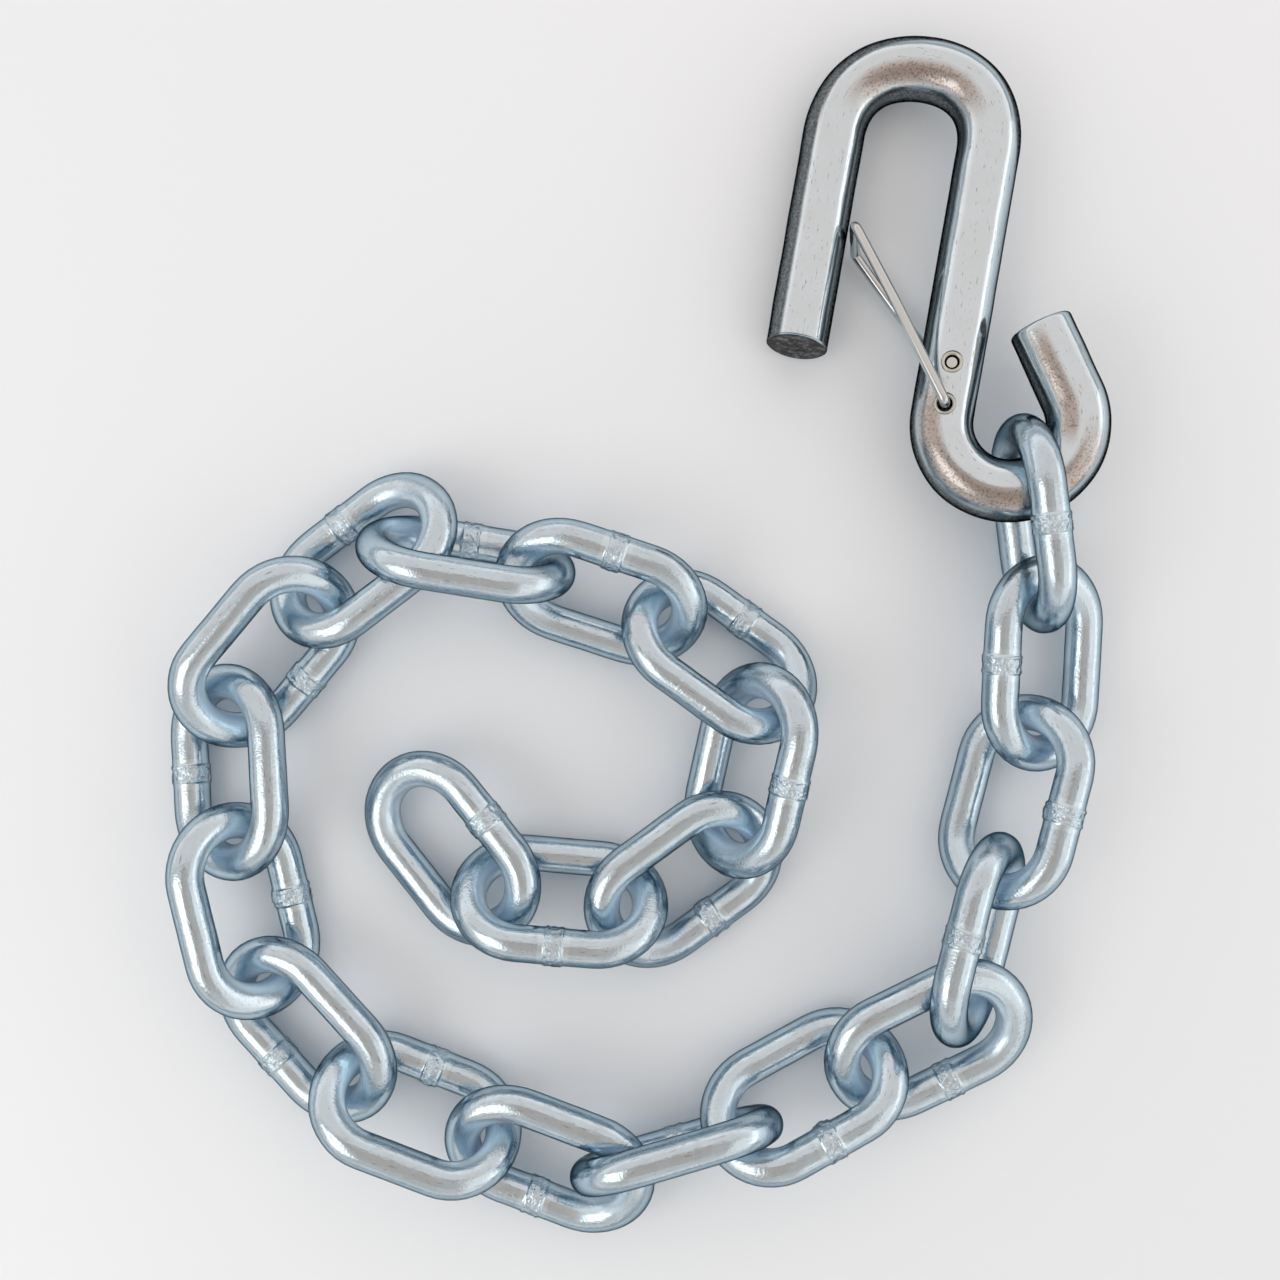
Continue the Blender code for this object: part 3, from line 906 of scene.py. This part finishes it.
outside = BAR_RADIUS + LATCH_CLEARANCE + LATCH_RADIUS
tip_x = lower_hole.x - 2 * LOOP_RADIUS + outside
front_tip = Vector((tip_x, LATCH_TIP_FRONT_UP, LATCH_TIP_HALF_WIDTH))
back_tip = Vector((tip_x + LATCH_TIP_BACK_INSET, LATCH_TIP_BACK_UP, -LATCH_TIP_HALF_WIDTH))
front_start = lower_hole + Vector((0.0, 0.0, outside))
back_end = upper_hole - Vector((0.0, 0.0, outside))
front_knee = front_start.lerp(Vector((front_tip.x, front_tip.y, outside)), LATCH_STRAIGHT_SHARE)
back_knee = back_end.lerp(Vector((back_tip.x, back_tip.y, -outside)), LATCH_STRAIGHT_SHARE)
foot_end = front_start - Vector((0.0, 0.0, LATCH_FOOT_DEPTH))
flex_end = back_end + (back_knee - back_end).normalized() * FLEX_LENGTH
latch_corners = [foot_end, front_start, front_knee, front_tip, back_tip, back_knee, flex_end]
latch_bends = (FOOT_BEND, KNEE_BEND, TIP_BEND, TIP_BEND, KNEE_BEND)
latch = latch_wire_mesh("latch_spring_wire", rounded_points(latch_corners, latch_bends))
latch.data.transform(hook_place)
spring_wire = bright_steel("bright spring wire", (0.53, 0.575, 0.59), 0.17)
latch.data.materials.append(spring_wire)
bpy.ops.object.shade_smooth_by_angle(angle=LATCH_SMOOTH_UP_TO)
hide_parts("latch_wire")
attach(latch, "latch")

upper_end = upper_hole + Vector((0.0, 0.0, LATCH_END_HEIGHT))
latch_back = latch_wire_mesh("latch_back_end", rounded_points([upper_end, back_end, flex_end], (FOOT_BEND,)))
latch_back.data.transform(hook_place)
latch_back.data.materials.append(spring_wire)
bpy.ops.object.shade_smooth_by_angle(angle=LATCH_SMOOTH_UP_TO)
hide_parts("latch_foot")
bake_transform(latch_back)


# Floor
# A plain pale sheet that the chain lies on. It has a matt paint and no pattern.
FLOOR_SIZE = 6.0
FLOOR_DROP = 0.1 * MM
FLOOR_COLOUR = (0.785, 0.885, 0.96, 1.0)
FLOOR_ROUGHNESS = 0.9
FLOOR_GLOSS = 0.1
bpy.ops.object.select_all(action="DESELECT")
bpy.ops.mesh.primitive_plane_add(size=FLOOR_SIZE, location=(0.0, 0.0, -FLOOR_DROP))
floor = bpy.context.active_object
floor.name = "floor"
floor_paint = bpy.data.materials.new("pale floor")
floor_paint.use_nodes = True
floor_shader = floor_paint.node_tree.nodes["Principled BSDF"]
floor_shader.inputs["Base Color"].default_value = FLOOR_COLOUR
floor_shader.inputs["Roughness"].default_value = FLOOR_ROUGHNESS
floor_shader.inputs["Specular IOR Level"].default_value = FLOOR_GLOSS
floor.data.materials.append(floor_paint)


# Light
# A pale room seen in the metal: a ceiling behind the chain, a room in front and at both sides with
# windows in it, and a dimmer, brown strip over the middle, where the camera hangs. Each panel has its
# own height, because panels at one height hide each other.
ROOM_COLOUR = (1.0, 0.875, 0.80)
WINDOW_COLOUR = (1.0, 0.95, 0.90)
CEILING_COLOUR = (1.0, 0.857, 0.79)
BROWN_COLOUR = (1.0, 0.78, 0.67)
DIM_COLOUR = (1.0, 0.84, 0.75)
SIDE_WINDOW_PLACE = (1.9, 0.0, 0.45)


def panel(name, height, sides, strength, colour):
    """A level panel of light, facing down. Its sides are left, right, front and back, in metres."""
    left, right, front, back = sides
    light = bpy.data.lights.new(name, "AREA")
    light.shape = "RECTANGLE"
    light.size = right - left
    light.size_y = back - front
    light.energy = strength * light.size * light.size_y * math.pi
    light.color = colour
    lamp = bpy.data.objects.new(name, light)
    lamp.location = ((left + right) / 2, (front + back) / 2, height)
    bpy.context.scene.collection.objects.link(lamp)
    return lamp


panel("ceiling", 0.42, (-1.7, 1.9, 0.065, 1.9), 0.95, CEILING_COLOUR)
panel("room on the left", 0.43, (-1.8, -0.13, -1.9, 0.067), 0.66, ROOM_COLOUR)
panel("brown strip", 0.44, (-0.13, 0.04, -0.33, 0.055), 0.59, BROWN_COLOUR)
panel("dim strip", 0.45, (0.04, 0.27, -0.33, 0.065), 0.63, DIM_COLOUR)
panel("room in front", 0.47, (-0.13, 0.27, -1.9, -0.35), 0.76, ROOM_COLOUR)
panel("room on the right", 0.46, (0.27, 1.8, -1.9, 0.069), 0.86, ROOM_COLOUR)
panel("left window", 0.40, (-0.62, -0.19, -0.42, -0.02), 1.6, WINDOW_COLOUR)
panel("right window", 0.41, (0.25, 1.25, -0.62, 0.04), 0.32, WINDOW_COLOUR)
side_window = panel("side window", 0.45, (-0.45, 0.45, -1.0, 0.9), 0.5, WINDOW_COLOUR)
side_window.rotation_euler = (0.0, math.pi / 2, 0.0)
side_window.location = SIDE_WINDOW_PLACE

PALE_WALLS_UP_TO = 0.1
DARK_ROOM_FROM = 0.55
PALE_WALLS = (0.56, 0.55, 0.55, 1.0)
DARK_ROOM = (0.10, 0.085, 0.075, 1.0)
room = bpy.data.worlds.new("dim room")
room.use_nodes = True
room_nodes = room.node_tree.nodes
direction = room_nodes.new("ShaderNodeTexCoord")
split = room_nodes.new("ShaderNodeSeparateXYZ")
room.node_tree.links.new(direction.outputs["Generated"], split.inputs["Vector"])
height = room_nodes.new("ShaderNodeMapRange")
height.inputs["From Min"].default_value = PALE_WALLS_UP_TO
height.inputs["From Max"].default_value = DARK_ROOM_FROM
room.node_tree.links.new(split.outputs["Z"], height.inputs["Value"])
walls = room_nodes.new("ShaderNodeMix")
walls.data_type = "RGBA"
walls.inputs["A"].default_value = PALE_WALLS
walls.inputs["B"].default_value = DARK_ROOM
room.node_tree.links.new(height.outputs["Result"], walls.inputs["Factor"])
room.node_tree.links.new(walls.outputs["Result"], room_nodes["Background"].inputs["Color"])
bpy.context.scene.world = room
bpy.context.scene.view_settings.view_transform = "Standard"
